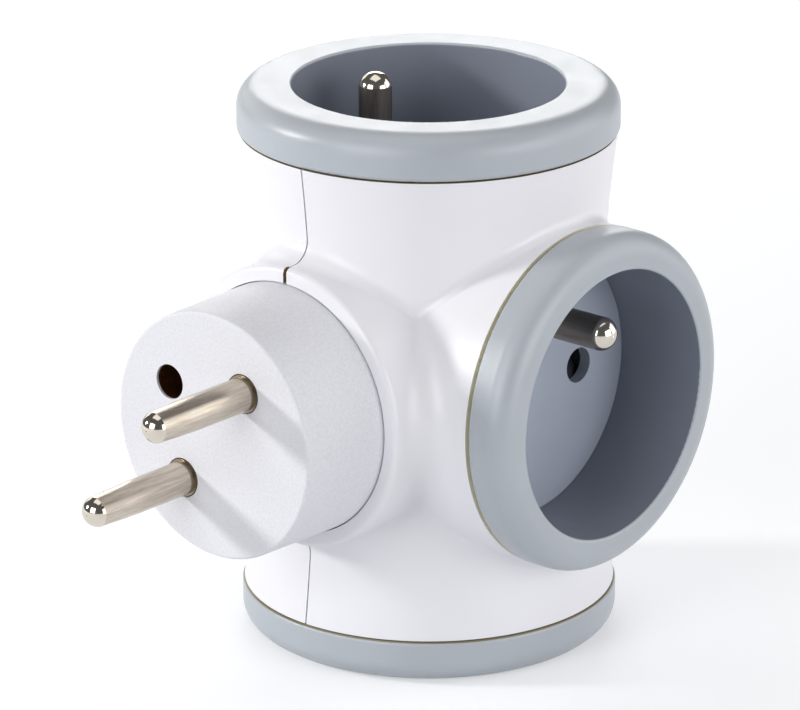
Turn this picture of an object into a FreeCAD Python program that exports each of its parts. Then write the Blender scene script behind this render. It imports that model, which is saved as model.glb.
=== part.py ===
import FreeCAD, Part
import math
import os
import re
import Sketcher

# A plug-in adapter that turns one round mains socket into three: one on top, one underneath
# and one on the side. The origin is the middle of the plug's flat face, the plug pins point
# to -Y, the housing stands along Z and the side socket faces +X.

Vector = FreeCAD.Vector
Rotation = FreeCAD.Rotation
Placement = FreeCAD.Placement

# Driving dimensions in millimetres, and one angle in degrees.
SIZES = [
    ("plug_reach", 45.6, "plug face to the upright axis of the housing"),
    ("ring_reach", 40.5, "centre to the rim of the top and bottom sockets"),
    ("side_reach", 34.5, "centre to the rim of the side socket"),
    ("waist_radius", 24.7, "housing half way up"),
    ("end_radius", 26.9, "housing where it meets the end rings"),
    ("shell_wall", 2.0, "wall of the housing"),
    ("collar_radius", 20.4, "collar round the plug"),
    ("collar_reach", 30.5, "upright axis to the flat lip of the collar"),
    ("boss_radius", 24.4, "round boss that carries the side socket"),
    ("form_blend", 1.5, "fillet between waist, collar and boss"),
    ("crown_blend", 3.0, "fillet between waist and collar at the parting line"),
    ("valley_share", 0.82, "widest fillet, as a share of the way from boss to lip"),
    ("lip_blend", 0.8, "fillet round the collar's lip"),
    ("lip_notch_width", 0.6, "notch in the collar's lip at the parting line"),
    ("lip_notch_depth", 1.0, "that notch, into the lip"),
    ("parting_gap", 0.25, "line between the two shells"),
    ("seam_gap", 0.2, "line between the top or bottom ring and the housing"),
    ("side_seam_gap", 0.5, "line between the side ring and its boss"),
    ("lip_thickness", 2.5, "inward lip that an insert snaps behind"),
    ("boss_wall", 1.8, "wall of the side boss"),
    ("boss_cavity_start", 14.0, "upright axis to the start of the boss cavity"),
    ("ring_radius", 27.2, "outside of the top and bottom rings"),
    ("side_ring_radius", 24.5, "outside of the side ring"),
    ("ring_height", 6.4, "rim down to the seam"),
    ("ring_round", 3.2, "outer edge of a ring"),
    ("ring_back_round", 0.5, "edge of a ring at the seam"),
    ("rim_round", 0.4, "inner edge of a rim"),
    ("well_radius", 19.4, "inside of a socket's well"),
    ("well_depth", 14.5, "rim down to the floor"),
    ("well_wall", 1.6, "wall of a well"),
    ("floor_thickness", 1.8, "floor of a well"),
    ("insert_clearance", 0.2, "well to the bore of the housing"),
    ("lug_height", 1.2, "how far a snap lug stands out"),
    ("lug_length", 3.0, "slope of a snap lug"),
    ("lug_width", 4.0, "snap lug along the well's wall"),
    ("lug_count", 4, "snap lugs round a well"),
    ("pin_pitch", 19.0, "between the two pins or pin holes"),
    ("earth_offset", 10.0, "earth contact from the middle of a socket or plug"),
    ("hole_radius", 2.6, "pin hole in a well's floor"),
    ("chamber_back", 9.2, "shutter chamber, towards the earth pin"),
    ("chamber_front", 11.0, "shutter chamber, away from the earth pin"),
    ("chamber_half_width", 13.4, "shutter chamber along the line of the pin holes"),
    ("chamber_depth", 5.0, "shutter chamber under the floor"),
    ("chamber_wall", 1.2, "wall of the shutter chamber"),
    ("chamber_round", 0.8, "corners of the shutter chamber"),
    ("cover_thickness", 1.6, "plate that closes the chamber"),
    ("cover_rebate", 0.6, "ledge that the plate sits on"),
    ("cover_clearance", 0.1, "round the plate and the earth boss"),
    ("cover_hole_radius", 2.9, "pin passage in the plate"),
    ("earth_pin_radius", 2.4, "earth pin in a well"),
    ("earth_pin_height", 14.0, "earth pin above the floor"),
    ("earth_pin_dome", 1.9, "rounded end of an earth pin"),
    ("shank_radius", 1.6, "thin tail of a pin"),
    ("shank_clearance", 0.05, "tail in its hole"),
    ("earth_boss_radius", 3.4, "boss under the floor that holds the earth pin"),
    ("earth_boss_depth", 8.6, "floor down to the end of that boss"),
    ("rivet_head_radius", 2.0, "head formed on a pin's tail"),
    ("rivet_head_height", 0.6, "that head"),
    ("shutter_travel", 5.3, "how far a shutter slides"),
    ("shutter_clearance", 0.2, "above and below a shutter"),
    ("shutter_side_clearance", 0.3, "shutter to the chamber's side walls"),
    ("shutter_arm_inner", 6.0, "inner edge of a shutter's arm"),
    ("shutter_blade", 2.7, "half of the blade that covers a pin hole"),
    ("shutter_frame", 0.9, "bar at each end of a shutter"),
    ("shutter_ramp", 4.0, "height of the slope that a pin pushes on"),
    ("shutter_bridge_back", 2.0, "bridge of a shutter, towards the earth pin"),
    ("spring_radius", 1.3, "shutter spring, to the middle of its wire"),
    ("spring_wire", 0.3, "wire of the spring"),
    ("spring_turns", 6, "turns of the spring"),
    ("spring_pocket_radius", 1.8, "hole in the shutter for the spring"),
    ("spring_pocket_depth", 4.0, "that hole"),
    ("spring_clearance", 0.1, "at each end of the spring"),
    ("plug_radius", 18.1, "plug at the collar"),
    ("plug_face_radius", 17.8, "plug at its face"),
    ("plug_edge_round", 0.5, "edge of the plug's face"),
    ("plug_face_wall", 4.0, "wall behind the plug's face"),
    ("plug_bore", 15.0, "hollow of the plug"),
    ("plug_step", 1.0, "ledge in the plug for its back plate"),
    ("plug_clearance", 0.15, "plug in the collar"),
    ("plug_flange_radius", 19.2, "flange that the shells trap"),
    ("plug_flange_thickness", 1.8, "that flange"),
    ("seat_depth", 5.9, "lip of the collar down to that flange"),
    ("seat_opening", 17.2, "opening behind the plug's flange"),
    ("seat_wall", 1.4, "wall behind the plug's flange"),
    ("pin_radius", 2.4, "plug pin at its foot"),
    ("pin_root_step", 0.3, "how much thicker a pin is inside the plug"),
    ("pin_tip_radius", 2.15, "plug pin at its tip"),
    ("pin_length", 19.0, "plug pin beyond the face"),
    ("pin_straight", 10.0, "straight part of that, before the taper"),
    ("pin_dome", 1.6, "rounded end of a plug pin"),
    ("pin_angle", 52.5, "line through the plug pins, from +X towards +Z"),
    ("pin_flange_radius", 3.4, "flange that holds a pin in the plug"),
    ("pin_flange_thickness", 2.0, "that flange"),
    ("pin_seat_depth", 12.6, "plug face to the pin's flange"),
    ("pin_clearance", 0.15, "pin in the plug's wall"),
    ("pin_boss_radius", 4.4, "boss round a pin in the plug"),
    ("strip_reach", 20.6, "upright axis to the strip on the pins' tails"),
    ("sleeve_radius", 3.2, "outside of the plug's earth sleeve"),
    ("sleeve_depth", 0.4, "plug face to the sleeve"),
    ("sleeve_bottom", 1.2, "closed end of the sleeve"),
    ("earth_hole_radius", 2.5, "earth hole in the plug's face and its sleeve"),
    ("back_plate_thickness", 2.0, "plate that clamps the pins in the plug"),
    ("strip_thickness", 0.8, "brass strip"),
    ("clip_strip", 0.6, "springy strip of a contact clip"),
    ("clip_half", 2.45, "half the width inside a clip"),
    ("clip_bend", 1.0, "outer bend of a clip"),
    ("clip_jaw", 1.2, "middle of a clip to where its lips turn in"),
    ("clip_start", 8.8, "floor down to a clip's mouth"),
    ("clip_length", 9.0, "a clip along the pin"),
    ("clip_tab", 3.8, "tail of a clip, where it is riveted"),
    ("clip_mouth", 1.7, "half the gap between a clip's lips"),
    ("clip_lip", 2.6, "middle of a clip to the ends of its lips"),
    ("clip_rivet_radius", 0.8, "rivet through a clip and its strip"),
    ("clip_rivet_head", 1.4, "head of that rivet"),
    ("clip_rivet_dome", 0.5, "height of that head"),
    ("strip_half_width", 4.0, "upright strip and its branch"),
    ("arm_half_width", 1.5, "strip that reaches forward to a plug pin"),
    ("arm_level", 10.6, "that strip above or below the middle"),
    ("ring_tab_radius", 3.2, "round end of a strip on a pin's tail"),
    ("earth_strip_half", 2.7, "half the width of the earth strip"),
    ("earth_strip_reach", 13.2, "upright axis to the earth strip"),
    ("earth_tab_end", 6.9, "upright axis to the end of the earth tabs"),
    ("earth_bend", 1.4, "outer bend of the earth strip"),
    ("earth_arm_level", 13.0, "earth strip that reaches to the side socket"),
    ("earth_side_end", 7.0, "lower end of the tab behind the side socket"),
    ("peg_radius", 1.3, "peg that lines up the shells"),
    ("peg_clearance", 0.1, "peg in its hole"),
    ("peg_length", 4.0, "peg beyond the parting line"),
    ("peg_boss_radius", 2.4, "boss round a peg or its hole"),
    ("peg_boss_length", 8.0, "that boss"),
    ("rear_peg_reach", 19.6, "upright axis to the rear pegs"),
    ("rear_peg_height", 8.0, "rear pegs above and below the middle"),
    ("front_peg_reach", 20.6, "upright axis to the front pegs"),
    ("front_peg_height", 21.6, "front pegs above and below the middle"),
]

ALIAS = re.compile(r"\b(" + "|".join(alias for alias, _, _ in SIZES) + r")\b")
BEYOND = 60.0

doc = FreeCAD.newDocument("adapter")


def make_sheet():
    """The spreadsheet that holds every driving dimension under its alias."""
    sheet = doc.addObject("Spreadsheet::Sheet", "dims")
    for row, (alias, number, note) in enumerate(SIZES, start=1):
        sheet.set("A%d" % row, alias)
        sheet.set("B%d" % row, str(number))
        sheet.set("C%d" % row, note)
        sheet.setAlias("B%d" % row, alias)
    doc.recompute()
    return sheet


dims = make_sheet()


def value(formula):
    """What a formula of aliases comes to now."""
    return float(dims.evalExpression(formula))


def bind(item, path, formula):
    """Tie one property, constraint or placement value to a formula of aliases."""
    item.setExpression(path, ALIAS.sub(r"dims.\1", formula))


def place(item, rotation, x="0", y="plug_reach", z="0"):
    """Put a finished piece in the adapter's frame."""
    item.Placement = Placement(Vector(value(x), value(y), value(z)), rotation)
    bind(item, "Placement.Base.x", x)
    bind(item, "Placement.Base.y", y)
    bind(item, "Placement.Base.z", z)
    return item


def new_body(name):
    body = doc.addObject("PartDesign::Body", name)
    body.Label = name
    return body


def sketch_on(body, name, role, offset="0"):
    """A sketch on one of the body's own planes, moved along the plane's normal."""
    sketch = body.newObject("Sketcher::SketchObject", body.Name + "_" + name)
    plane = next(item for item in body.Origin.OriginFeatures if item.Role == role)
    sketch.AttachmentSupport = [(plane, "")]
    sketch.MapMode = "FlatFace"
    bind(sketch, "AttachmentOffset.Base.z", offset)
    return sketch


def fix(sketch, kind, arguments, formula):
    """Add one dimension to a sketch and tie it to a formula."""
    index = sketch.addConstraint(Sketcher.Constraint(kind, *arguments, value(formula)))
    bind(sketch, "Constraints[%d]" % index, formula)


def short_arc(start, end, radius):
    """The arc from start to end: anticlockwise for a positive radius, clockwise for a negative one."""
    chord = end - start
    rise = math.sqrt(max(radius ** 2 - chord.Length ** 2 / 4, 0))
    left = Vector(-chord.y, chord.x, 0).normalize()
    centre = (start + end) * 0.5 + left * math.copysign(rise, radius)
    first, last = (start, end) if radius > 0 else (end, start)
    angles = [math.atan2(spot.y - centre.y, spot.x - centre.x) for spot in (first, last)]
    return Part.ArcOfCircle(Part.Circle(centre, Vector(0, 0, 1), abs(radius)), *angles)


def outline(sketch, points):
    """Draw a closed outline. Each point is two formulas. A third is the radius of the arc that ends there."""
    spots = [Vector(value(point[0]), value(point[1]), 0) for point in points]
    first = sketch.GeometryCount
    ends = []
    for index, point in enumerate(points):
        if len(point) == 3:
            radius = value(point[2])
            sketch.addGeometry(short_arc(spots[index - 1], spots[index], radius))
            ends.append((1, 2) if radius > 0 else (2, 1))
        else:
            sketch.addGeometry(Part.LineSegment(spots[index - 1], spots[index]))
            ends.append((1, 2))
    for index, point in enumerate(points):
        after = (index + 1) % len(points)
        line = first + index
        joined = Sketcher.Constraint("Coincident", line, ends[index][1], first + after, ends[after][0])
        sketch.addConstraint(joined)
        fix(sketch, "DistanceX", (-1, 1, line, ends[index][1]), point[0])
        fix(sketch, "DistanceY", (-1, 1, line, ends[index][1]), point[1])
        if len(point) == 3:
            fix(sketch, "Radius", (line,), "abs(%s)" % point[2])


def circle(sketch, x, y, radius):
    centre = Vector(value(x), value(y), 0)
    line = sketch.addGeometry(Part.Circle(centre, Vector(0, 0, 1), value(radius)))
    fix(sketch, "DistanceX", (-1, 1, line, 3), x)
    fix(sketch, "DistanceY", (-1, 1, line, 3), y)
    fix(sketch, "Radius", (line,), radius)


def cap(radius, height):
    """The radius of the arc over a rounded end of this radius and height."""
    return "((%s * %s + %s * %s) / (2 * %s))" % (radius, radius, height, height, height)


def rectangle(sketch, left, right, low, high):
    outline(sketch, [(left, low), (right, low), (right, high), (left, high)])


def rounded_rectangle(sketch, left, right, low, high, radius):
    """An upright rectangle whose four corners are arcs of one radius."""
    near_left, near_right = "%s + %s" % (left, radius), "%s - %s" % (right, radius)
    near_low, near_high = "%s + %s" % (low, radius), "%s - %s" % (high, radius)
    outline(sketch, [
        (near_left, low, radius), (near_right, low), (right, near_low, radius), (right, near_high),
        (near_right, high, radius), (near_left, high), (left, near_high, radius), (left, near_low)])


def feature(body, kind, sketch, suffix):
    item = body.newObject("PartDesign::" + kind, sketch.Name + "_" + suffix)
    item.Profile = sketch
    return item


def pad(body, sketch, length, both=False, reverse=False):
    item = feature(body, "Pad", sketch, "pad")
    item.Midplane = both
    item.Reversed = reverse
    bind(item, "Length", length)
    return item


def pocket(body, sketch, length, both=False, reverse=False):
    """Cut away a sketch's area, and stop if nothing was cut."""
    doc.recompute()
    before = body.Shape.Volume
    item = feature(body, "Pocket", sketch, "pocket")
    item.Midplane = both
    item.Reversed = reverse
    bind(item, "Length", length)
    doc.recompute()
    if body.Shape.Volume > before - 1e-6:
        raise RuntimeError(item.Name + " cuts nothing")
    return item


def revolve(body, sketch, reverse=False):
    item = feature(body, "Revolution", sketch, "turned")
    item.ReferenceAxis = (sketch, ["V_Axis"])
    item.Angle = 360
    item.Reversed = reverse
    return item


def turned(name, points):
    """A body turned about its own Z axis, from an outline of radius and height."""
    body = new_body(name)
    sketch = sketch_on(body, "profile", "XZ_Plane")
    outline(sketch, points)
    revolve(body, sketch)
    return body


def cylinder(name, radius, height, rotation, x="0", y="0", z="0"):
    item = doc.addObject("Part::Cylinder", name)
    bind(item, "Radius", radius)
    bind(item, "Height", height)
    return place(item, rotation, x, y, z)


def cut(name, base, tool):
    item = doc.addObject("Part::Cut", name)
    item.Base = base
    item.Tool = tool
    return item


def common(name, base, tool):
    item = doc.addObject("Part::Common", name)
    item.Base = base
    item.Tool = tool
    return item


def fuse(name, shapes):
    item = doc.addObject("Part::MultiFuse", name)
    item.Shapes = shapes
    return item


# Directions: how a piece that is modelled along its own Z axis is turned.
UPRIGHT = Rotation()
TO_FRONT = Rotation(Vector(1, 0, 0), 90)
TO_SIDE = Rotation(Vector(0, 1, 0), 90)
TO_SIDE_SEAM_BEHIND = Rotation(Vector(1, 1, 1), 120)
UPSIDE_DOWN = Rotation(Vector(1, 0, 0), 180)
UPSIDE_DOWN_SAME_Y = Rotation(Vector(0, 1, 0), 180)
HALF_TURN = Rotation(Vector(0, 0, 1), 180)

# A socket's own frame: the origin is the middle of the well's floor, Z points out of the well,
# the pin holes lie along Y and the earth pin stands at -X.
TOP_FLOOR = "ring_reach - well_depth"
SIDE_FLOOR = "side_reach - well_depth"
SOCKETS = {
    "top": (UPRIGHT, "0", TOP_FLOOR, "ring_radius"),
    "bottom": (UPSIDE_DOWN, "0", "-(%s)" % TOP_FLOOR, "ring_radius"),
    "side": (TO_SIDE, SIDE_FLOOR, "0", "side_ring_radius"),
}
UNDERSIDE = "-floor_thickness"
CHAMBER_END = "floor_thickness + chamber_depth + cover_thickness"
LEDGE = "-(floor_thickness + chamber_depth)"
HALF_PITCH = "pin_pitch / 2"
FLANGE_DEPTH = "(plug_reach - collar_reach + seat_depth)"

# The plug's pins and earth hole, seen from the front, and the ends of their tails.
PIN_X = "pin_pitch / 2 * cos(pin_angle)"
PIN_Z = "pin_pitch / 2 * sin(pin_angle)"
EARTH_X = "-earth_offset * sin(pin_angle)"
EARTH_Z = "earth_offset * cos(pin_angle)"
PIN_ROOT = "(pin_radius + pin_root_step)"


def place_socket_part(item, socket):
    rotation, x, z, _ = SOCKETS[socket]
    return place(item, rotation, x, "plug_reach", z)


def socket_insert(socket):
    """Ring, well and floor in one moulding, with snap lugs and the shutter chamber underneath."""
    ring = SOCKETS[socket][3]
    gap = "side_seam_gap" if socket == "side" else "seam_gap"
    outer = "well_radius + well_wall"
    body = turned(socket + "_socket", [
        ("0", "0"), ("well_radius", "0"), ("well_radius", "well_depth - rim_round"),
        ("well_radius + rim_round", "well_depth", "-rim_round"),
        (ring + " - ring_round", "well_depth"),
        (ring, "well_depth - ring_round", "-ring_round"),
        (ring, "well_depth - ring_height + ring_back_round"),
        (ring + " - ring_back_round", "well_depth - ring_height", "-ring_back_round"),
        (outer, "well_depth - ring_height"),
        (outer, UNDERSIDE), ("0", UNDERSIDE)])

    chamber = sketch_on(body, "chamber", "XY_Plane", UNDERSIDE)
    rounded_rectangle(chamber, "-(chamber_back + chamber_wall)", "chamber_front + chamber_wall",
                      "-(chamber_half_width + chamber_wall)", "chamber_half_width + chamber_wall",
                      "(chamber_round + chamber_wall)")
    pad(body, chamber, "chamber_depth + cover_thickness", reverse=True)

    hollow = sketch_on(body, "hollow", "XY_Plane", "-(%s)" % CHAMBER_END)
    rounded_rectangle(hollow, "-chamber_back", "chamber_front",
                      "-chamber_half_width", "chamber_half_width", "chamber_round")
    pocket(body, hollow, "chamber_depth + cover_thickness", reverse=True)

    rebate = sketch_on(body, "rebate", "XY_Plane", "-(%s)" % CHAMBER_END)
    rounded_rectangle(rebate, "-(chamber_back + cover_rebate)", "chamber_front + cover_rebate",
                      "-(chamber_half_width + cover_rebate)", "chamber_half_width + cover_rebate",
                      "(chamber_round + cover_rebate)")
    pocket(body, rebate, "cover_thickness", reverse=True)

    boss = sketch_on(body, "earth_boss", "XY_Plane", UNDERSIDE)
    circle(boss, "-earth_offset", "0", "earth_boss_radius")
    pad(body, boss, "earth_boss_depth - floor_thickness", reverse=True)

    holes = sketch_on(body, "pin_holes", "XY_Plane")
    circle(holes, "0", HALF_PITCH, "hole_radius")
    circle(holes, "0", "-" + HALF_PITCH, "hole_radius")
    pocket(body, holes, "floor_thickness")

    shank = sketch_on(body, "shank_hole", "XY_Plane")
    circle(shank, "-earth_offset", "0", "shank_radius + shank_clearance")
    pocket(body, shank, "earth_boss_depth")

    catch = "well_depth - ring_height - %s - lip_thickness - insert_clearance" % gap
    lug = sketch_on(body, "lug", "XZ_Plane")
    outline(lug, [("well_radius + well_wall / 2", catch), (outer + " + lug_height", catch),
                  (outer, catch + " - lug_length"),
                  ("well_radius + well_wall / 2", catch + " - lug_length")])
    lugs = pad(body, lug, "lug_width", both=True)
    ring_of_lugs = body.newObject("PartDesign::PolarPattern", body.Name + "_lugs")
    ring_of_lugs.Originals = [lugs]
    ring_of_lugs.Axis = (chamber, ["N_Axis"])
    ring_of_lugs.Angle = 360
    bind(ring_of_lugs, "Occurrences", "lug_count")
    body.Tip = ring_of_lugs
    return place_socket_part(body, socket)


def earth_pin(socket):
    """The nickel pin that stands in a well, with the tail that is riveted to the earth strip."""
    under_strip = "-(earth_boss_depth + strip_thickness)"
    body = turned(socket + "_earth_pin", [
        ("0", "earth_pin_height", cap("earth_pin_radius", "earth_pin_dome")),
        ("0", under_strip + " - rivet_head_height"),
        ("rivet_head_radius - rivet_head_height / 2", under_strip + " - rivet_head_height"),
        ("rivet_head_radius", under_strip + " - rivet_head_height / 2", "rivet_head_height / 2"),
        ("rivet_head_radius", under_strip), ("shank_radius", under_strip), ("shank_radius", "0"),
        ("earth_pin_radius", "0"), ("earth_pin_radius", "earth_pin_height - earth_pin_dome")])
    rotation, x, z, _ = SOCKETS[socket]
    along = {"top": ("-earth_offset", z), "bottom": ("-earth_offset", z), "side": (x, "earth_offset")}
    return place(body, rotation, along[socket][0], "plug_reach", along[socket][1])


def chamber_cover(socket):
    """The plate that closes the shutter chamber and lets the pins through."""
    body = new_body(socket + "_back_plate")
    plate = sketch_on(body, "plate", "XY_Plane", LEDGE)
    slack = "cover_rebate - cover_clearance"
    rounded_rectangle(plate, "-(chamber_back + %s)" % slack, "chamber_front + " + slack,
                      "-(chamber_half_width + %s)" % slack, "chamber_half_width + " + slack,
                      "(chamber_round + %s)" % slack)
    circle(plate, "0", HALF_PITCH, "cover_hole_radius")
    circle(plate, "0", "-" + HALF_PITCH, "cover_hole_radius")
    pad(body, plate, "cover_thickness", reverse=True)
    notch = sketch_on(body, "notch", "XY_Plane", LEDGE)
    circle(notch, "-earth_offset", "0", "earth_boss_radius + cover_clearance")
    pocket(body, notch, "cover_thickness")
    return place_socket_part(body, socket)


def shutter(socket):
    """A sliding shutter: two sloped blades under the pin holes, joined by a bridge with a spring hole."""
    body = new_body(socket + "_shutter")
    back = "-(shutter_travel + shutter_blade + shutter_frame)"
    front = "shutter_blade + shutter_frame"
    side = "chamber_half_width - shutter_side_clearance"
    upper = "-(floor_thickness + shutter_clearance)"
    height = "chamber_depth - 2 * shutter_clearance"

    plan = sketch_on(body, "plan", "XY_Plane", upper)
    outline(plan, [(back, "-(%s)" % side), (front, "-(%s)" % side), (front, side), (back, side),
                   (back, "shutter_arm_inner"), ("-shutter_bridge_back", "shutter_arm_inner"),
                   ("-shutter_bridge_back", "-shutter_arm_inner"), (back, "-shutter_arm_inner")])
    pad(body, plan, height, reverse=True)

    window = sketch_on(body, "windows", "XY_Plane", upper)
    for low, high in (("shutter_arm_inner + shutter_frame", side + " - shutter_frame"),
                      ("-(%s - shutter_frame)" % side, "-(shutter_arm_inner + shutter_frame)")):
        rectangle(window, "-(shutter_travel + shutter_blade)", "-shutter_blade", low, high)
    pocket(body, window, height)

    slope = sketch_on(body, "slope", "XZ_Plane")
    outline(slope, [("-shutter_blade", upper), ("shutter_blade", upper),
                    ("-shutter_blade", upper + " - shutter_ramp")])
    pocket(body, slope, "2 * (%s - shutter_frame)" % side, both=True)
    middle = sketch_on(body, "middle", "XY_Plane", upper)
    rectangle(middle, "-shutter_bridge_back", front, "-(shutter_arm_inner + shutter_frame)",
              "shutter_arm_inner + shutter_frame")
    pad(body, middle, height, reverse=True)

    bore = sketch_on(body, "spring_hole", "YZ_Plane", front)
    circle(bore, "0", "-(floor_thickness + chamber_depth / 2)", "spring_pocket_radius")
    pocket(body, bore, "spring_pocket_depth")
    return place_socket_part(body, socket)


def shutter_spring(socket):
    """The coil spring between the shutter and the end wall of its chamber."""
    body = new_body(socket + "_shutter_spring")
    wire = sketch_on(body, "wire", "XZ_Plane")
    circle(wire, "spring_radius", "spring_wire / 2", "spring_wire / 2")
    coil = body.newObject("PartDesign::AdditiveHelix", body.Name + "_coil")
    coil.Profile = wire
    coil.ReferenceAxis = (wire, ["V_Axis"])
    coil.Mode = "height-turns-growth"
    foot = "shutter_blade + shutter_frame - spring_pocket_depth + spring_clearance"
    bind(coil, "Height", "chamber_front - spring_clearance - spring_wire - (%s)" % foot)
    bind(coil, "Turns", "spring_turns")
    rotation, x, z, _ = SOCKETS[socket]
    level = "floor_thickness + chamber_depth / 2"
    spots = {"top": (foot, "(%s) - (%s)" % (z, level)), "bottom": (foot, "(%s) + (%s)" % (z, level)),
             "side": ("(%s) - (%s)" % (x, level), "-(%s)" % foot)}
    return place(body, rotation * TO_SIDE, spots[socket][0], "plug_reach", spots[socket][1])


def plug_body():
    """The round plug: a cup with a flat face, bosses for the pins and a flange that the shells trap."""
    seat = "-(pin_seat_depth + pin_flange_thickness)"
    rear = "-(%s + plug_flange_thickness)" % FLANGE_DEPTH
    body = turned("plug_body", [
        ("0", "0"), ("0", "-plug_face_wall"), ("plug_bore", "-plug_face_wall"), ("plug_bore", seat),
        ("plug_bore + plug_step", seat), ("plug_bore + plug_step", rear), ("plug_flange_radius", rear),
        ("plug_flange_radius", "-" + FLANGE_DEPTH), ("plug_radius", "-" + FLANGE_DEPTH),
        ("plug_radius", "collar_reach - plug_reach"), ("plug_face_radius", "-plug_edge_round"),
        ("plug_face_radius - plug_edge_round", "0", "plug_edge_round")])
    bosses = sketch_on(body, "bosses", "XY_Plane", "-plug_face_wall")
    for x, y in ((PIN_X, PIN_Z), ("-" + PIN_X, "-" + PIN_Z), (EARTH_X, EARTH_Z)):
        circle(bosses, x, y, "pin_boss_radius")
    pad(body, bosses, "pin_seat_depth - plug_face_wall", reverse=True)
    holes = sketch_on(body, "pin_holes", "XY_Plane")
    for x, y in ((PIN_X, PIN_Z), ("-" + PIN_X, "-" + PIN_Z)):
        circle(holes, x, y, PIN_ROOT + " + pin_clearance")
    pocket(body, holes, "pin_seat_depth")
    earth = sketch_on(body, "earth_hole", "XY_Plane")
    circle(earth, EARTH_X, EARTH_Z, "earth_hole_radius")
    pocket(body, earth, "sleeve_depth")
    sleeve = sketch_on(body, "sleeve_hole", "XY_Plane", "-sleeve_depth")
    circle(sleeve, EARTH_X, EARTH_Z, "sleeve_radius + pin_clearance")
    pocket(body, sleeve, "pin_seat_depth - sleeve_depth")
    return place(body, TO_FRONT, y="0")


def tail(profile_start):
    """The end of a turned pin inside the plug: flange, thin tail and riveted head."""
    flange_back = "-(pin_seat_depth + pin_flange_thickness)"
    head = "-(plug_reach - strip_reach + strip_thickness)"
    head_edge = "rivet_head_height / 2"
    return profile_start + [
        ("pin_flange_radius", "-pin_seat_depth"), ("pin_flange_radius", flange_back),
        ("shank_radius", flange_back), ("shank_radius", head), ("rivet_head_radius", head),
        ("rivet_head_radius", head + " - " + head_edge),
        ("rivet_head_radius - " + head_edge, head + " - rivet_head_height", "-" + head_edge),
        ("0", head + " - rivet_head_height")]


def plug_pin(name, x, z):
    """One round plug pin: a thick root in the plug, a straight foot, then a slight taper to a domed tip."""
    shoulder = "pin_length - pin_dome"
    body = turned(name, tail([
        ("0", "pin_length"), ("pin_tip_radius", shoulder, "-" + cap("pin_tip_radius", "pin_dome")),
        ("pin_radius", "pin_straight"), ("pin_radius", "0"), (PIN_ROOT, "0"),
        (PIN_ROOT, "-pin_seat_depth")]))
    return place(body, TO_FRONT, x, "0", z)


def plug_earth_sleeve():
    """The brass socket behind the earth hole in the plug's face."""
    inner_end = "-(pin_seat_depth + pin_flange_thickness - sleeve_bottom)"
    body = turned("plug_earth_sleeve", tail([
        ("0", inner_end), ("earth_hole_radius", inner_end), ("earth_hole_radius", "-sleeve_depth"),
        ("sleeve_radius", "-sleeve_depth"), ("sleeve_radius", "-pin_seat_depth")]))
    return place(body, TO_FRONT, EARTH_X, "0", EARTH_Z)


def plug_back_plate():
    """The disc that clamps the pins in the plug."""
    body = new_body("plug_back_plate")
    disc = sketch_on(body, "disc", "XY_Plane", "-(pin_seat_depth + pin_flange_thickness)")
    circle(disc, "0", "0", "plug_bore + plug_step - cover_clearance")
    for x, y in ((PIN_X, PIN_Z), ("-" + PIN_X, "-" + PIN_Z), (EARTH_X, EARTH_Z)):
        circle(disc, x, y, "shank_radius + shank_clearance")
    pad(body, disc, "back_plate_thickness", reverse=True)
    return place(body, TO_FRONT, y="0")


def ring_tab(body, name, x, z):
    """The round end of a strip, on the tail of a pin in the plug."""
    tab = sketch_on(body, name, "XZ_Plane", "strip_reach - strip_thickness / 2")
    circle(tab, x, z, "ring_tab_radius")
    circle(tab, x, z, "shank_radius + shank_clearance")
    pad(body, tab, "strip_thickness", both=True)


STRIP_LINE = "(pin_pitch / 2 + clip_half + clip_strip + strip_thickness / 2)"
RIVET_DEPTH = "(clip_start + clip_length + clip_tab / 2)"


def contact_busbar(name, sign):
    """The strip that feeds three clips. sign is + for the strip behind the centre, - for the one in front."""
    body = new_body(name)
    level = "-1 * %s1 * %s" % (sign, STRIP_LINE)
    end = "%s - clip_start" % TOP_FLOOR
    branch = "%s - clip_start" % SIDE_FLOOR
    width = "strip_half_width"
    plate = sketch_on(body, "plate", "XZ_Plane", level)
    outline(plate, [("-" + width, "-(%s)" % end), (width, "-(%s)" % end), (width, "-" + width),
                    (branch, "-" + width), (branch, width), (width, width), (width, end), ("-" + width, end)])
    circle(plate, "0", "%s - %s" % (TOP_FLOOR, RIVET_DEPTH), "clip_rivet_radius + shank_clearance")
    circle(plate, "0", "%s - (%s)" % (RIVET_DEPTH, TOP_FLOOR), "clip_rivet_radius + shank_clearance")
    circle(plate, "%s - %s" % (SIDE_FLOOR, RIVET_DEPTH), "0", "clip_rivet_radius + shank_clearance")
    pad(body, plate, "strip_thickness", both=True)

    near = "%s1 * (%s - arm_half_width)" % (sign, PIN_X)
    far = "%s1 * (%s + arm_half_width)" % (sign, PIN_X)
    arm_top = "%s1 * (arm_level + strip_thickness / 2)" % sign
    ear = sketch_on(body, "ear", "XZ_Plane", level)
    rectangle(ear, "0", far, "%s1 * (arm_level - arm_half_width)" % sign, arm_top)
    pad(body, ear, "strip_thickness", both=True)

    arm = sketch_on(body, "arm", "XY_Plane", "%s1 * arm_level" % sign)
    rectangle(arm, near, far, "-strip_reach", "%s1 * %s" % (sign, STRIP_LINE))
    pad(body, arm, "strip_thickness", both=True)
    ring_tab(body, "ring", "%s1 * %s" % (sign, PIN_X), "%s1 * %s" % (sign, PIN_Z))
    return place(body, UPRIGHT)


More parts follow.
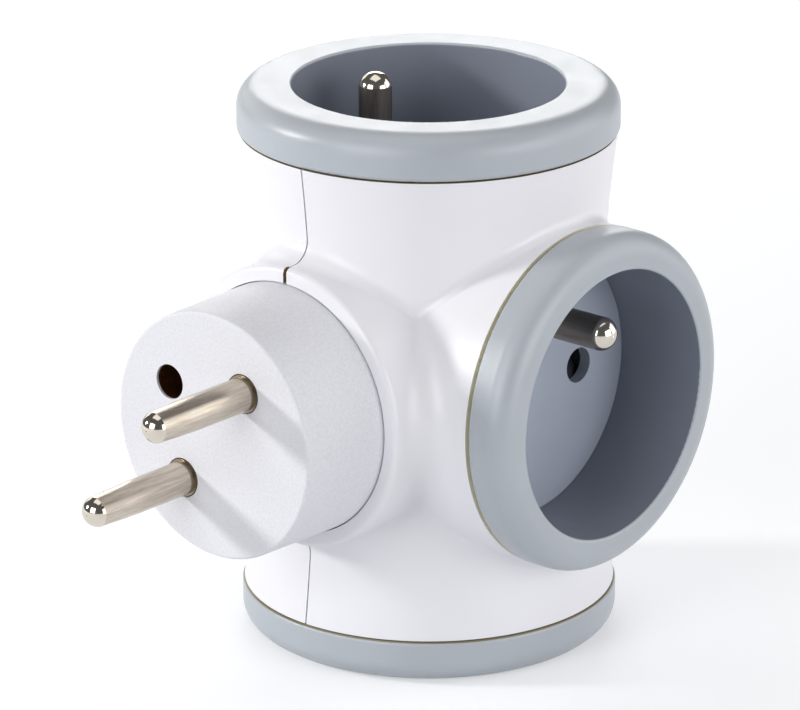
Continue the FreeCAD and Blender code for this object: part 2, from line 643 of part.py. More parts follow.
def earth_busbar():
    """The folded strip that joins the three earth pins to the plug's earth sleeve."""
    body = new_body("earth_busbar")
    half = "strip_thickness / 2"
    back = "-(earth_strip_reach + %s)" % half
    face = "-(earth_strip_reach - %s)" % half
    top = "%s - earth_boss_depth" % TOP_FLOOR
    under = top + " - strip_thickness"
    inner = "earth_bend - strip_thickness"
    shape = sketch_on(body, "fold", "XZ_Plane")
    outline(shape, [
        ("-earth_tab_end", top), (back + " + earth_bend", top), (back, top + " - earth_bend", "earth_bend"),
        (back, "-(%s - earth_bend)" % top), (back + " + earth_bend", "-(%s)" % top, "earth_bend"),
        ("-earth_tab_end", "-(%s)" % top), ("-earth_tab_end", "-(%s)" % under),
        ("%s + %s" % (face, inner), "-(%s)" % under),
        (face, "-(%s - (%s))" % (under, inner), "-(%s)" % inner), (face, "%s - (%s)" % (under, inner)),
        ("%s + %s" % (face, inner), under, "-(%s)" % inner), ("-earth_tab_end", under)])
    pad(body, shape, "2 * earth_strip_half", both=True)

    reach = "%s - earth_boss_depth" % SIDE_FLOOR
    arm_top = "earth_arm_level + " + half
    arm = sketch_on(body, "side_arm", "XZ_Plane")
    outline(arm, [
        ("-earth_strip_reach", arm_top), ("-earth_strip_reach", "earth_arm_level - " + half),
        (reach + " - strip_thickness", "earth_arm_level - " + half),
        (reach + " - strip_thickness", "earth_side_end"), (reach, "earth_side_end"),
        (reach, arm_top + " - earth_bend"), (reach + " - earth_bend", arm_top, "earth_bend")])
    pad(body, arm, "2 * earth_strip_half", both=True)

    wing = sketch_on(body, "plug_arm", "YZ_Plane", "-earth_strip_reach")
    rectangle(wing, "-strip_reach", "0", EARTH_Z + " - arm_half_width", EARTH_Z + " + arm_half_width")
    pad(body, wing, "strip_thickness", both=True)
    foot = sketch_on(body, "plug_foot", "XZ_Plane", "strip_reach - strip_thickness / 2")
    rectangle(foot, back, EARTH_X + " - shank_radius - strip_thickness",
              EARTH_Z + " - arm_half_width", EARTH_Z + " + arm_half_width")
    pad(body, foot, "strip_thickness", both=True)
    ring_tab(body, "ring", EARTH_X, EARTH_Z)

    holes = sketch_on(body, "end_holes", "XY_Plane")
    circle(holes, "-earth_offset", "0", "shank_radius + shank_clearance")
    pocket(body, holes, "2 * ring_reach", both=True)
    side_hole = sketch_on(body, "side_hole", "YZ_Plane", reach)
    circle(side_hole, "0", "earth_offset", "shank_radius + shank_clearance")
    pocket(body, side_hole, "strip_thickness")
    return place(body, UPRIGHT)


CLIP_TURNS = {"top": UPRIGHT, "bottom": UPSIDE_DOWN_SAME_Y, "side": TO_SIDE}


def contact_clip(polarity, socket):
    """A folded spring clip that grips one pin, with a tail for its rivet."""
    body = new_body("%s_%s_clip" % (polarity, socket))
    wide = "(clip_half + clip_strip)"
    inner_bend = "(clip_bend - clip_strip)"
    profile = sketch_on(body, "profile", "XY_Plane", "-clip_start")
    outline(profile, [
        ("-" + wide, "-clip_jaw"), ("-(clip_mouth + clip_strip)", "-clip_lip"), ("-clip_mouth", "-clip_lip"),
        ("-clip_half", "-clip_jaw"), ("-clip_half", "clip_half - " + inner_bend),
        ("-clip_half + " + inner_bend, "clip_half", "-" + inner_bend),
        ("clip_half - " + inner_bend, "clip_half"),
        ("clip_half", "clip_half - " + inner_bend, "-" + inner_bend),
        ("clip_half", "-clip_jaw"), ("clip_mouth", "-clip_lip"), ("clip_mouth + clip_strip", "-clip_lip"),
        (wide, "-clip_jaw"), (wide, wide + " - clip_bend"), (wide + " - clip_bend", wide, "clip_bend"),
        ("-%s + clip_bend" % wide, wide), ("-" + wide, wide + " - clip_bend", "clip_bend")])
    pad(body, profile, "clip_length", reverse=True)
    leaf = sketch_on(body, "tail", "XZ_Plane", "-(clip_half + clip_strip / 2)")
    rectangle(leaf, "-clip_half + " + inner_bend, "clip_half - " + inner_bend,
              "-(clip_start + clip_length + clip_tab)", "-(clip_start + clip_length)")
    circle(leaf, "0", "-" + RIVET_DEPTH, "clip_rivet_radius + shank_clearance")
    pad(body, leaf, "clip_strip", both=True)
    sign = "+" if polarity == "live" else "-"
    turn = UPRIGHT if polarity == "live" else HALF_TURN
    _, x, z, _ = SOCKETS[socket]
    return place(body, CLIP_TURNS[socket] * turn, x, "plug_reach %s pin_pitch / 2" % sign, z)


def clip_rivets():
    """Six brass rivets, each through a clip's tail and its busbar."""
    radius, head, dome = value("clip_rivet_radius"), value("clip_rivet_head"), value("clip_rivet_dome")
    grip = value("clip_strip + strip_thickness")
    curve = (head ** 2 + dome ** 2) / (2 * dome)
    low_dome = Part.Arc(Vector(0, 0, -dome), Vector(curve * math.sin(0.5 * math.asin(head / curve)), 0,
                        curve - dome - curve * math.cos(0.5 * math.asin(head / curve))), Vector(head, 0, 0))
    corners = [Vector(head, 0, 0), Vector(radius, 0, 0), Vector(radius, 0, grip), Vector(head, 0, grip)]
    sides = [Part.makeLine(start, end) for start, end in zip(corners, corners[1:])]
    high_dome = low_dome.toShape().mirror(Vector(0, 0, grip / 2), Vector(0, 0, 1))
    axis = Part.makeLine(Vector(0, 0, grip + dome), Vector(0, 0, -dome))
    profile = Part.Wire(Part.__sortEdges__([low_dome.toShape(), high_dome, axis] + sides))
    rivet = Part.Face(profile).revolve(Vector(0, 0, 0), Vector(0, 0, 1), 360)
    rivet.rotate(Vector(0, 0, 0), Vector(1, 0, 0), -90)
    end = value("%s - %s" % (TOP_FLOOR, RIVET_DEPTH))
    side = value("%s - %s" % (SIDE_FLOOR, RIVET_DEPTH))
    inner = value("pin_pitch / 2 + clip_half")
    copies = []
    for x, z in ((0, end), (0, -end), (side, 0)):
        for start in (inner, -inner - grip):
            copy = rivet.copy()
            copy.translate(Vector(x, start, z))
            copies.append(copy)
    item = doc.addObject("Part::Feature", "clip_rivets")
    item.Shape = Part.makeCompound(copies)
    return place(item, UPRIGHT)


SHELL_HALF = "ring_reach - ring_height - seam_gap"
BOSS_REACH = "side_reach - ring_height - side_seam_gap"


def waist_form(name, shrink, half_height):
    """The waisted form of the housing, smaller by shrink all round."""
    end, middle = "end_radius - %s" % shrink, "waist_radius - %s" % shrink
    sag = "(end_radius - waist_radius)"
    curve = "(((%s) * (%s) + %s * %s) / (2 * %s))" % (SHELL_HALF, SHELL_HALF, sag, sag, sag)
    reach = "%s + %s + %s - sqrt((%s + %s) * (%s + %s) - (%s) * (%s))" % (
        middle, curve, shrink, curve, shrink, curve, shrink, half_height, half_height)
    body = new_body(name)
    sketch = sketch_on(body, "profile", "XZ_Plane")
    outline(sketch, [("0", "-(%s)" % half_height), (reach, "-(%s)" % half_height),
                     (reach, half_height, "-(%s + %s)" % (curve, shrink)), ("0", half_height)])
    revolve(body, sketch, reverse=True)
    return body


def blend_edges(shape):
    """Edges where waist, collar and boss meet, each with the radii at its two ends."""
    collar, boss = value("collar_radius"), value("boss_radius")
    blend, crown, lip = value("form_blend"), value("crown_blend"), value("lip_blend")
    valley = value("valley_share * (collar_reach - boss_radius)")
    chosen = []
    for number, edge in enumerate(shape.Edges, start=1):
        first, last = edge.valueAt(edge.FirstParameter), edge.valueAt(edge.LastParameter)
        middle = edge.valueAt((edge.FirstParameter + edge.LastParameter) / 2)
        on_collar = abs(math.hypot(middle.x, middle.z) - collar) < 0.02
        on_boss = abs(math.hypot(middle.y, middle.z) - boss) < 0.02
        if abs(middle.y + value("collar_reach")) < 1e-6 and on_collar:
            chosen.append((number, lip, lip))
        elif isinstance(edge.Curve, Part.BSplineCurve) and on_collar and on_boss:
            radii = [valley if abs(spot.z) < 1e-3 else blend for spot in (first, last)]
            chosen.append((number, *radii))
        elif isinstance(edge.Curve, Part.BSplineCurve) and (on_collar or on_boss):
            radii = [crown if abs(spot.x) < value("parting_gap") else blend for spot in (first, last)]
            chosen.append((number, *radii))
    return chosen


def outer_form(side):
    """Waist, collar and boss of one shell, blended where they meet."""
    waist = common(side + "_waist", waist_form(side + "_whole_waist", "0", SHELL_HALF), half_space(side))
    round_collar = cylinder(side + "_whole_collar", "collar_radius", "collar_reach", TO_FRONT)
    forms = [waist, common(side + "_collar", round_collar, half_space(side))]
    if side == "right":
        forms.append(cylinder("right_boss", "boss_radius", BOSS_REACH + " - parting_gap / 2",
                              TO_SIDE_SEAM_BEHIND, x="parting_gap / 2"))
    union = fuse(side + "_forms", forms)
    doc.recompute()
    blended = doc.addObject("Part::Fillet", side + "_blend")
    blended.Base = union
    blended.Edges = blend_edges(union.Shape)
    return blended


def housing_hollow(side):
    """The room inside a shell, before the plug's seat is added."""
    waist = waist_form(side + "_hollow_waist", "shell_wall", SHELL_HALF + " - lip_thickness")
    if side == "left":
        return waist
    boss = cylinder("hollow_boss", "boss_radius - boss_wall",
                    BOSS_REACH + " - lip_thickness - boss_cavity_start", TO_SIDE, x="boss_cavity_start")
    return fuse("right_hollow", [waist, boss])


def lip_notch(side):
    """The small notch in the collar's lip, where the two shells meet above and below the plug."""
    notch = doc.addObject("Part::Box", side + "_lip_notch")
    bind(notch, "Length", "lip_notch_width")
    bind(notch, "Width", "lip_notch_depth")
    notch.Height = 2 * BEYOND
    return place(notch, UPRIGHT, "-lip_notch_width / 2", "-collar_reach", "-%g" % BEYOND)


def housing_bores(side):
    """Round openings for the inserts, the stepped bore that holds the plug and the notch in the lip."""
    bore = "well_radius + well_wall + insert_clearance"
    depth = "well_depth + floor_thickness"
    flange_back = "collar_reach - seat_depth - plug_flange_thickness - plug_clearance"
    bores = [
        cylinder(side + "_bore_top", bore, depth, UPRIGHT, z=TOP_FLOOR + " - floor_thickness"),
        cylinder(side + "_bore_bottom", bore, depth, UPSIDE_DOWN, z="floor_thickness - (%s)" % TOP_FLOOR),
        cylinder(side + "_bore_plug", "plug_radius + plug_clearance", "ring_reach", TO_FRONT,
                 y="-(collar_reach - seat_depth)"),
        cylinder(side + "_bore_flange", "plug_flange_radius + plug_clearance",
                 "plug_flange_thickness + 2 * plug_clearance", TO_FRONT, y="-(%s)" % flange_back),
        cylinder(side + "_bore_rear", "seat_opening", "collar_reach - seat_depth", TO_FRONT),
        lip_notch(side)]
    if side == "right":
        bores.append(cylinder("bore_side", bore, depth, TO_SIDE, x=SIDE_FLOOR + " - floor_thickness"))
    return bores


PEG_SPOTS = [("rear_peg_reach", "rear_peg_height"), ("rear_peg_reach", "-rear_peg_height"),
             ("-front_peg_reach", "front_peg_height"), ("-front_peg_reach", "-front_peg_height")]


def peg_cylinders(name, radius, start, length):
    """One cylinder along X at each of the four spots where the shells are lined up."""
    return [cylinder("%s_%d" % (name, index), radius, length, TO_SIDE, x=start, y=y, z=z)
            for index, (y, z) in enumerate(PEG_SPOTS, start=1)]


def half_space(side):
    """A box that fills the room on one side of the parting line."""
    box = doc.addObject("Part::Box", side + "_half")
    box.Length = box.Width = box.Height = 2 * BEYOND
    start = "parting_gap / 2" if side == "right" else "-(%g + parting_gap / 2)" % (2 * BEYOND)
    return place(box, UPRIGHT, start, "-%g" % BEYOND, "-%g" % BEYOND)


def housing_shell(side):
    """One of the two shells. The left one has the pegs, the right one their holes and the side boss."""
    walls = cut(side + "_walls", outer_form(side), housing_hollow(side))
    seat_start = "collar_reach - seat_depth - plug_flange_thickness - plug_clearance - seat_wall"
    seat = cylinder(side + "_whole_seat", "collar_radius", "plug_flange_thickness + 2 * seat_wall",
                    TO_FRONT, y="-(%s)" % seat_start)
    seated = fuse(side + "_seated", [walls, common(side + "_seat", seat, half_space(side))])
    bored = cut(side + "_bored", seated, fuse(side + "_bores", housing_bores(side)))
    boss_start = "-peg_boss_length" if side == "left" else "parting_gap / 2"
    bosses = peg_cylinders(side + "_peg_boss", "peg_boss_radius", boss_start,
                           "peg_boss_length - parting_gap / 2")
    if side == "left":
        pegs = peg_cylinders("peg", "peg_radius", "-peg_boss_length", "peg_boss_length + peg_length")
        shell = fuse("housing_left", [bored] + bosses + pegs)
    else:
        holes = peg_cylinders("peg_hole", "peg_radius + peg_clearance", "0", "peg_length + peg_clearance")
        shell = cut("housing_right", fuse("right_with_bosses", [bored] + bosses), fuse("peg_holes", holes))
    return place(shell, UPRIGHT)


def build():
    """Every sub-part of the adapter, in the order in which they are written."""
    parts = [housing_shell("left"), housing_shell("right")]
    for socket in SOCKETS:
        parts += [socket_insert(socket), earth_pin(socket), shutter(socket), shutter_spring(socket),
                  chamber_cover(socket), contact_clip("live", socket), contact_clip("neutral", socket)]
    parts += [plug_body(), plug_pin("live_pin", PIN_X, PIN_Z),
              plug_pin("neutral_pin", "-" + PIN_X, "-" + PIN_Z), plug_earth_sleeve(), plug_back_plate(),
              contact_busbar("live_busbar", "+"), contact_busbar("neutral_busbar", "-"), earth_busbar(),
              clip_rivets()]
    return parts


def check_and_write(parts):
    """Stop at anything that failed, then write one file for each sub-part."""
    for item in doc.Objects:
        if "Invalid" in item.State or "Error" in item.State:
            raise RuntimeError("%s failed: %s" % (item.Name, item.State))
    os.makedirs("parts", exist_ok=True)
    for item in parts:
        if item.Shape.isNull() or not item.Shape.isValid():
            raise RuntimeError(item.Label + " has no valid shape")
        item.Shape.exportStep("parts/%s.step" % item.Label)
        print("%-22s solids %d, volume %8.1f" % (item.Label, len(item.Shape.Solids), item.Shape.Volume))


sub_parts = build()
doc.recompute()
check_and_write(sub_parts)
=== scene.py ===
import math

import bpy
from mathutils import Matrix, Vector

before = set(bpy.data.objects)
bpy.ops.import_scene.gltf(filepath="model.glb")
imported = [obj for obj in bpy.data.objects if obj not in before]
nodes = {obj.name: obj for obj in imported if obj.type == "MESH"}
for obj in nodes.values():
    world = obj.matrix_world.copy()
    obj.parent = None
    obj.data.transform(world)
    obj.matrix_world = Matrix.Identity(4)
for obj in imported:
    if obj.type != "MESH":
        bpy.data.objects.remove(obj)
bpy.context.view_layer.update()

MM = 0.001
scene = bpy.context.scene

# The centre is where the housing's upright axis crosses the plug's axis. Sizes are in millimetres.
PLUG_FACE = 45.6
CENTRE = Vector((0, PLUG_FACE, 0)) * MM

# The axis that each socket lies on, and the centre to its rim.
RIMS = {"top": ("Z", 40.5), "bottom": ("Z", 40.5), "side": ("X", 34.5)}
RING_HEIGHT = 6.4
WELL_RADIUS = 19.4
WELL_DEPTH = 14.5
# Width of the pale painted highlight round a well's rim.
RIM_HIGHLIGHT_WIDTH = 0.35

# Centre to the shells' ends, to the side boss's end and to the floor of the notch in the collar's lip.
SHELL_END = 33.9
BOSS_END = 27.6
NOTCH_FLOOR = 29.4
NOTCH_HALF_WIDTH = 0.31

# Straight part of each pin above the floor or face that it stands on, and the ring of painted shade at its
# foot.
EARTH_PIN_STRAIGHT = 12.1
PLUG_PIN_STRAIGHT = 17.4
PIN_FOOT = 0.8

# How far a tint reaches past the face that it belongs to: a plain face, a well's wall and a seam.
SKIN = 0.03
WALL_MARGIN = 0.1
SEAM_MARGIN = 0.15

# The camera as it was fitted to the photo: degrees, millimetres and pixels.
CAMERA_AZIMUTH, CAMERA_ELEVATION, CAMERA_ROLL = 41.12, 19.70, -0.18
CAMERA_DISTANCE, CAMERA_ACROSS, CAMERA_UPWARD = 728.14, -4.14, -0.51
FOCAL_LENGTH, PHOTO_WIDTH = 5059.59, 800
SENSOR_WIDTH = 36

# Nearest and furthest that the camera sees, in metres.
CAMERA_CLIP = 0.05, 20

# The floor is a plane, in metres, a hair below the lower rim so that the two faces don't coincide.
FLOOR_SIZE = 6
FLOOR_DROP = 0.02
FLOOR_SHADES = (0.68, 0.695, 0.72, 1), (0.7, 0.715, 0.74, 1)

# Its glow near the adapter, and where that starts and ends growing to white.
FLOOR_GLOW = 0.4
FLOOR_NEAR, FLOOR_FAR = 300, 900

# How bright the room is in reflections, and how much it lights everything.
ROOM_SHINE = 0.1
ROOM_GLOW = 0.02

# Colours of the lamps.
WARM = (1, 0.99, 0.97)
COOL = (0.98, 0.99, 1)


def linear(red, green, blue):
    """A colour given as it looks on a screen, 0 to 255, as linear values."""
    def one(level):
        level /= 255
        return level / 12.92 if level <= 0.04045 else ((level + 0.055) / 1.055) ** 2.4
    return (one(red), one(green), one(blue), 1)


def shade(level):
    """A grey, 0 to 1, as linear values."""
    return (level, level, level, 1)


# Tints painted on the faces in the seams and in the notch of the collar's lip.
DARK_SEAM_TINT = linear(150, 142, 118)
PALE_SEAM_TINT = linear(242, 239, 222)
BROWN_NOTCH_TINT = linear(150, 128, 92)

# Nickel of a pin's tip, nickel darkened with painted shade for a pin's foot, and the streaks along a plug
# pin and along an earth pin, the last darkened with painted shade from its dark well.
NICKEL = linear(214, 206, 194)
FOOT_SHADE_NICKEL = linear(150, 138, 120)
BRIGHT_STREAKS = linear(184, 170, 154), linear(216, 207, 194)
SHADED_STREAKS = linear(148, 136, 124), linear(168, 157, 145)

# How much smoother a pin's tip is than its side, and how much its streaks are stretched along it.
TIP_POLISH = 0.65
STREAK_STRETCH = 0.06

# What a socket's grey is multiplied by: painted shade on the well's floor and on its wall, and a slight
# dimming outside the rim that leaves the rim's edge pale as a painted highlight.
WELL_FLOOR_SHADE = (0.83, 0.85, 0.94, 1)
WELL_WALL_SHADE = (0.48, 0.49, 0.55, 1)
BODY_DIM_BESIDE_HIGHLIGHT = shade(0.92)


class Shader:
    """A short way to write node materials: one principled shader and what feeds it."""

    def __init__(self, name):
        self.material = bpy.data.materials.new(name)
        self.material.use_nodes = True
        self.tree = self.material.node_tree
        self.tree.nodes.clear()
        out = self.tree.nodes.new("ShaderNodeOutputMaterial")
        self.surface = self.tree.nodes.new("ShaderNodeBsdfPrincipled")
        self.link(self.surface.outputs["BSDF"], out.inputs["Surface"])
        self.place = self.tree.nodes.new("ShaderNodeTexCoord").outputs["Object"]

    def link(self, source, target):
        """Join one node's output to another's input."""
        self.tree.links.new(source, target)

    def set(self, **values):
        """Give inputs of the principled shader a plain value."""
        for name, level in values.items():
            self.surface.inputs[name.replace("_", " ")].default_value = level

    def feed(self, **sources):
        """Give inputs of the principled shader another node's output."""
        for name, source in sources.items():
            self.link(source, self.surface.inputs[name.replace("_", " ")])

    def maths(self, operation, *values):
        """One step of arithmetic on numbers or on other nodes' outputs."""
        node = self.tree.nodes.new("ShaderNodeMath")
        node.operation = operation
        for entry, value in zip(node.inputs, values):
            if isinstance(value, (int, float)):
                entry.default_value = value
            else:
                self.link(value, entry)
        return node.outputs["Value"]

    def along(self, axis):
        """Distance from the adapter's centre along one axis, in millimetres."""
        node = self.tree.nodes.new("ShaderNodeSeparateXYZ")
        self.link(self.place, node.inputs["Vector"])
        start = CENTRE["XYZ".index(axis)]
        return self.maths("MULTIPLY", self.maths("SUBTRACT", node.outputs[axis], start), 1 / MM)

    def away_from(self, axis):
        """Distance from the line along one axis through the adapter's centre, in millimetres."""
        squares = [self.maths("POWER", self.maths("ABSOLUTE", self.along(other)), 2)
                   for other in "XYZ" if other != axis]
        return self.maths("SQRT", self.maths("ADD", *squares))

    def above(self, value, limit):
        """1 where the value is above the limit, otherwise 0."""
        return self.maths("GREATER_THAN", value, limit)

    def below(self, value, limit):
        """1 where the value is below the limit, otherwise 0."""
        return self.maths("LESS_THAN", value, limit)

    def both(self, first, second):
        """1 where both are 1, otherwise 0."""
        return self.maths("MULTIPLY", first, second)

    def within(self, value, low, high):
        """1 where the value is between low and high, otherwise 0."""
        return self.both(self.above(value, low), self.below(value, high))

    def mix(self, factor, first, second, blend="MIX"):
        """Two colours mixed. Each input is a value or another node's output."""
        node = self.tree.nodes.new("ShaderNodeMix")
        node.data_type = "RGBA"
        node.blend_type = blend
        sockets = [next(entry for entry in node.inputs if entry.identifier == name)
                   for name in ("Factor_Float", "A_Color", "B_Color")]
        for entry, value in zip(sockets, (factor, first, second)):
            if isinstance(value, (int, float, tuple)):
                entry.default_value = value
            else:
                self.link(value, entry)
        return next(entry for entry in node.outputs if entry.identifier == "Result_Color")

    def noise(self, scale, detail=4, roughness=0.5, stretch=(1, 1, 1)):
        """Noise in the object's own space. scale is in patches to the metre."""
        mapping = self.tree.nodes.new("ShaderNodeMapping")
        mapping.inputs["Scale"].default_value = stretch
        self.link(self.place, mapping.inputs["Vector"])
        node = self.tree.nodes.new("ShaderNodeTexNoise")
        node.inputs["Scale"].default_value = scale
        node.inputs["Detail"].default_value = detail
        node.inputs["Roughness"].default_value = roughness
        self.link(mapping.outputs["Vector"], node.inputs["Vector"])
        return node.outputs["Fac"]

    def ramp(self, factor, *stops):
        """A colour ramp through (position, colour) stops."""
        node = self.tree.nodes.new("ShaderNodeValToRGB")
        while len(node.color_ramp.elements) < len(stops):
            node.color_ramp.elements.new(0.5)
        for element, (position, colour) in zip(node.color_ramp.elements, stops):
            element.position = position
            element.color = colour
        self.link(factor, node.inputs["Fac"])
        return node.outputs["Color"]

    def spread(self, factor, low, high, start=0.3, end=0.7):
        """The factor, start to end, stretched to low to high."""
        node = self.tree.nodes.new("ShaderNodeMapRange")
        node.inputs["From Min"].default_value = start
        node.inputs["From Max"].default_value = end
        node.inputs["To Min"].default_value = low
        node.inputs["To Max"].default_value = high
        self.link(factor, node.inputs["Value"])
        return node.outputs["Result"]

    def bump(self, height, distance, strength=1.0):
        """A relief on the surface, as deep as distance."""
        node = self.tree.nodes.new("ShaderNodeBump")
        node.inputs["Strength"].default_value = strength
        node.inputs["Distance"].default_value = distance
        self.link(height, node.inputs["Height"])
        self.link(node.outputs["Normal"], self.surface.inputs["Normal"])


def moulded(name, dark, light, roughness, grain, depth, patches=60):
    """Moulded plastic: faint shade changes, an uneven sheen and a fine grain. Returns shader and colour."""
    shader = Shader(name)
    colour = shader.ramp(shader.noise(scale=patches, detail=3), (0.35, dark), (0.65, light))
    sheen = shader.noise(scale=240)
    shader.feed(Base_Color=colour, Roughness=shader.spread(sheen, *roughness))
    shader.bump(shader.noise(scale=grain, detail=2), distance=depth)
    shader.set(IOR=1.5)
    return shader, colour


def shell_plastic():
    """Glossy white, with brown, olive and pale yellowish tints painted on the faces in the notch of the
    collar's lip and in the seams at the rings.
    """
    shader, colour = moulded("white_shell", linear(240, 239, 244), linear(242, 241, 246),
                             roughness=(0.29, 0.33), grain=5000, depth=0.001 * MM)
    notch = shader.both(shader.below(shader.maths("ABSOLUTE", shader.along("X")), NOTCH_HALF_WIDTH),
                        shader.below(shader.along("Y"), -NOTCH_FLOOR))
    ends = shader.above(shader.maths("ABSOLUTE", shader.along("Z")), SHELL_END - SKIN)
    boss = shader.above(shader.along("X"), BOSS_END - SKIN)
    # The faces in the notch and in the seams at the rings get painted tints.
    for where, seam_tint in ((notch, BROWN_NOTCH_TINT), (ends, DARK_SEAM_TINT), (boss, PALE_SEAM_TINT)):
        colour = shader.mix(where, colour, seam_tint)
    shader.feed(Base_Color=colour)
    return shader.material


def socket_plastic(socket):
    """Satin blue-grey. Painted shade darkens the well, a painted highlight makes a pale edge round its rim
    and the seam's faces get a tint of their own.
    """
    axis, rim = RIMS[socket]
    shader, colour = moulded(socket + "_grey", linear(185, 191, 198), linear(189, 195, 202),
                             roughness=(0.32, 0.39), grain=9000, depth=0.01 * MM)
    radius = shader.away_from(axis)
    height = shader.maths("ABSOLUTE", shader.along(axis))
    floor = shader.below(radius, WELL_RADIUS - WALL_MARGIN)
    wall = shader.within(radius, WELL_RADIUS - WALL_MARGIN, WELL_RADIUS + SKIN)
    body = shader.above(radius, WELL_RADIUS + RIM_HIGHLIGHT_WIDTH)
    # Painted shade on the well's floor and wall; the body outside the rim's edge is dimmed, so the edge
    # itself stays pale as a painted highlight.
    for where, tint in ((floor, WELL_FLOOR_SHADE), (wall, WELL_WALL_SHADE), (body, BODY_DIM_BESIDE_HIGHLIGHT)):
        colour = shader.mix(where, colour, shader.mix(1.0, colour, tint, "MULTIPLY"))
    # The faces in the seam below the ring get a painted tint.
    seam = shader.both(body, shader.below(height, rim - RING_HEIGHT + SEAM_MARGIN))
    seam_tint = PALE_SEAM_TINT if socket == "side" else DARK_SEAM_TINT
    shader.feed(Base_Color=shader.mix(seam, colour, seam_tint))
    return shader.material


def pin_metal(name, axis, base, straight, streak_colours):
    """Nickel plate, brushed along the pin, with a polished tip and painted shade on a ring at its foot.

    base is how far from the centre the pin starts, and straight is its length up to the tip.
    """
    shader = Shader(name)
    stretch = [STREAK_STRETCH if letter == axis else 1 for letter in "XYZ"]
    streaks = shader.noise(scale=3200, roughness=0.6, stretch=stretch)
    colour = shader.ramp(streaks, *zip((0.3, 0.7), streak_colours))
    height = shader.maths("ABSOLUTE", shader.along(axis))
    shaded_foot = shader.below(height, base + PIN_FOOT)
    tip = shader.above(height, base + straight)
    # Painted shade on the ring at the pin's foot; the tip keeps the plain nickel.
    colour = shader.mix(tip, shader.mix(shaded_foot, colour, FOOT_SHADE_NICKEL), NICKEL)
    brushed = shader.spread(shader.noise(scale=1800, detail=3, stretch=stretch), low=0.28, high=0.38)
    polish = shader.maths("SUBTRACT", 1.0, shader.maths("MULTIPLY", tip, TIP_POLISH))
    shader.feed(Base_Color=colour, Roughness=shader.maths("MULTIPLY", brushed, polish))
    shader.bump(streaks, distance=0.003 * MM, strength=0.5)
    shader.set(Metallic=1.0)
    return shader.material


def sheet_metal(name, dark, light, roughness):
    """Bare stamped metal with an uneven polish."""
    shader = Shader(name)
    patches = shader.noise(scale=2200, roughness=0.6)
    shader.feed(Base_Color=shader.ramp(patches, (0.3, dark), (0.7, light)),
                Roughness=shader.spread(shader.noise(scale=900, detail=3), *roughness))
    shader.bump(patches, distance=0.01 * MM, strength=0.5)
    shader.set(Metallic=1.0)
    return shader.material


def paint(material, *names):
    """Give the named pieces one material."""
    for name in names:
        nodes[name].data.materials.clear()
        nodes[name].data.materials.append(material)


def paint_everything():
    """Make each material and give it to its pieces."""
    plug, _ = moulded("white_plug", linear(226, 226, 232), linear(234, 234, 240),
                      roughness=(0.5, 0.6), grain=4500, depth=0.03 * MM, patches=2600)
    dark, _ = moulded("dark_shutter", linear(38, 40, 46), linear(46, 48, 54),
                      roughness=(0.45, 0.6), grain=6000, depth=0.01 * MM)
    inner, _ = moulded("inner_plastic", linear(190, 190, 188), linear(200, 200, 198),
                       roughness=(0.5, 0.6), grain=6000, depth=0.01 * MM)
    brass = sheet_metal("brass", linear(150, 112, 66), linear(176, 138, 86), roughness=(0.3, 0.45))
    steel = sheet_metal("steel", linear(176, 176, 176), linear(200, 200, 200), roughness=(0.2, 0.3))
    paint(shell_plastic(), "housing_left", "housing_right")
    paint(plug.material, "plug_body")
    paint(inner.material, "plug_back_plate")
    for socket, (axis, rim) in RIMS.items():
        # An earth pin's streaks are darkened with painted shade, as the pin stands in its well.
        earth_nickel = pin_metal(socket + "_pin_nickel", axis, rim - WELL_DEPTH,
                                 EARTH_PIN_STRAIGHT, SHADED_STREAKS)
        paint(socket_plastic(socket), socket + "_socket")
        paint(earth_nickel, socket + "_earth_pin")
        paint(dark.material, socket + "_shutter")
        paint(inner.material, socket + "_back_plate")
        paint(steel, socket + "_shutter_spring")
        paint(brass, "live_%s_clip" % socket, "neutral_%s_clip" % socket)
    plug_nickel = pin_metal("plug_pin_nickel", "Y", PLUG_FACE, PLUG_PIN_STRAIGHT, BRIGHT_STREAKS)
    paint(plug_nickel, "live_pin", "neutral_pin")
    paint(brass, "plug_earth_sleeve", "live_busbar", "neutral_busbar", "earth_busbar", "clip_rivets")


def floor_glow(shader):
    """A faint glow in reflections, and one for the camera that grows where the lamps' light ends."""
    path = shader.tree.nodes.new("ShaderNodeLightPath")
    far = shader.spread(shader.away_from("Z"), FLOOR_GLOW, 1.0, FLOOR_NEAR, FLOOR_FAR)
    seen = shader.maths("MULTIPLY", path.outputs["Is Camera Ray"], far)
    mirrored = shader.maths("MULTIPLY", path.outputs["Is Glossy Ray"], FLOOR_GLOW)
    return shader.maths("MAXIMUM", seen, mirrored)


def studio_floor():
    """A pale floor that reads as white, with the soft shadow of the adapter on it."""
    level = CENTRE.z - (RIMS["bottom"][1] + FLOOR_DROP) * MM
    bpy.ops.mesh.primitive_plane_add(size=FLOOR_SIZE, location=(CENTRE.x, CENTRE.y, level))
    floor = bpy.context.object
    floor.name = "studio_floor"
    shader = Shader("floor_paper")
    colour = shader.ramp(shader.noise(scale=3, detail=2), *zip((0.3, 0.7), FLOOR_SHADES))
    shader.feed(Base_Color=colour, Emission_Strength=floor_glow(shader))
    shader.set(Roughness=0.9, Emission_Color=(1, 1, 1, 1))
    floor.data.materials.append(shader.material)


def area_light(name, toward, distance, size, power, colour=(1, 1, 1)):
    """A square lamp that shines at the adapter's centre from a direction. Metres and watts."""
    light = bpy.data.lights.new(name, "AREA")
    light.size = size
    light.energy = power
    light.color = colour
    lamp = bpy.data.objects.new(name, light)
    direction = Vector(toward).normalized()
    lamp.location = CENTRE + direction * distance
    lamp.rotation_mode = "QUATERNION"
    lamp.rotation_quaternion = direction.to_track_quat("Z", "Y")
    scene.collection.objects.link(lamp)


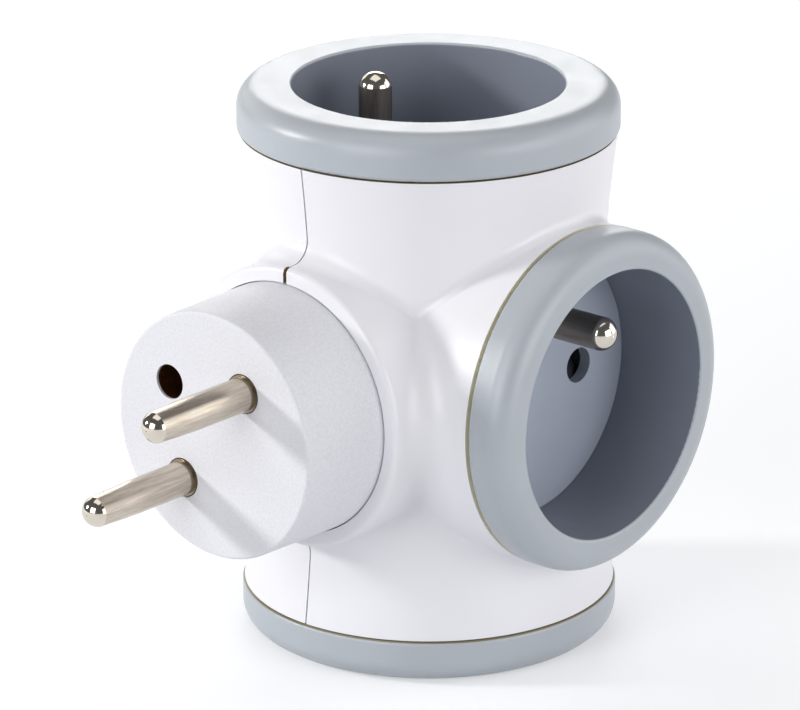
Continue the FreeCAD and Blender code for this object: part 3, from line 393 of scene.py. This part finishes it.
def studio_world():
    """A dim room whose walls look white to the camera."""
    world = bpy.data.worlds.new("studio")
    world.use_nodes = True
    tree = world.node_tree
    tree.nodes.clear()
    out = tree.nodes.new("ShaderNodeOutputWorld")
    path = tree.nodes.new("ShaderNodeLightPath")
    shine = tree.nodes.new("ShaderNodeMath")
    shine.operation = "MULTIPLY_ADD"
    shine.inputs[1].default_value = ROOM_SHINE
    shine.inputs[2].default_value = ROOM_GLOW
    strength = tree.nodes.new("ShaderNodeMath")
    strength.operation = "MAXIMUM"
    background = tree.nodes.new("ShaderNodeBackground")
    background.inputs["Color"].default_value = (1, 1, 1, 1)
    tree.links.new(path.outputs["Is Glossy Ray"], shine.inputs[0])
    tree.links.new(path.outputs["Is Camera Ray"], strength.inputs[0])
    tree.links.new(shine.outputs["Value"], strength.inputs[1])
    tree.links.new(strength.outputs["Value"], background.inputs["Strength"])
    tree.links.new(background.outputs["Background"], out.inputs["Surface"])
    scene.world = world


def studio_light():
    """One small lamp from the left, and large soft boxes round the adapter."""
    area_light("key", (-0.71, -0.62, 0.334), distance=0.9, size=0.12, power=3.9, colour=WARM)
    area_light("front_box", (0.05, -1, 0.35), distance=1.2, size=0.7, power=6.2, colour=COOL)
    area_light("left_back_box", (-0.95, 0.3, 0.35), distance=1.0, size=0.5, power=1.0)
    area_light("right_box", (1, 0.1, 0.16), distance=1.0, size=0.7, power=5.5)
    area_light("right_back_box", (0.6, 0.8, 0.3), distance=1.0, size=0.7, power=2.9)
    area_light("back_box", (-0.62, 0.71, 0.36), distance=1.0, size=0.5, power=3.3)
    area_light("top_box", (0, 0, 1), distance=1.0, size=0.8, power=2.3, colour=WARM)


def photo_camera():
    """The camera that sees the adapter as the photo does."""
    azimuth, elevation, roll = (math.radians(angle)
                                for angle in (CAMERA_AZIMUTH, CAMERA_ELEVATION, CAMERA_ROLL))
    back = Vector((math.sin(azimuth) * math.cos(elevation), -math.cos(azimuth) * math.cos(elevation),
                   math.sin(elevation)))
    level = Vector((math.cos(azimuth), math.sin(azimuth), 0))
    upright = back.cross(level)
    right = level * math.cos(roll) + upright * math.sin(roll)
    top = upright * math.cos(roll) - level * math.sin(roll)
    camera = bpy.data.cameras.new("photo_camera")
    camera.sensor_width = SENSOR_WIDTH
    camera.lens = FOCAL_LENGTH * SENSOR_WIDTH / PHOTO_WIDTH
    camera.clip_start, camera.clip_end = CAMERA_CLIP
    eye = bpy.data.objects.new("photo_camera", camera)
    place = CENTRE + (back * CAMERA_DISTANCE + level * CAMERA_ACROSS + upright * CAMERA_UPWARD) * MM
    eye.matrix_world = Matrix.Translation(place) @ Matrix((right, top, back)).transposed().to_4x4()
    scene.collection.objects.link(eye)
    scene.camera = eye


paint_everything()
studio_floor()
studio_world()
studio_light()
photo_camera()
scene.view_settings.view_transform = "Standard"
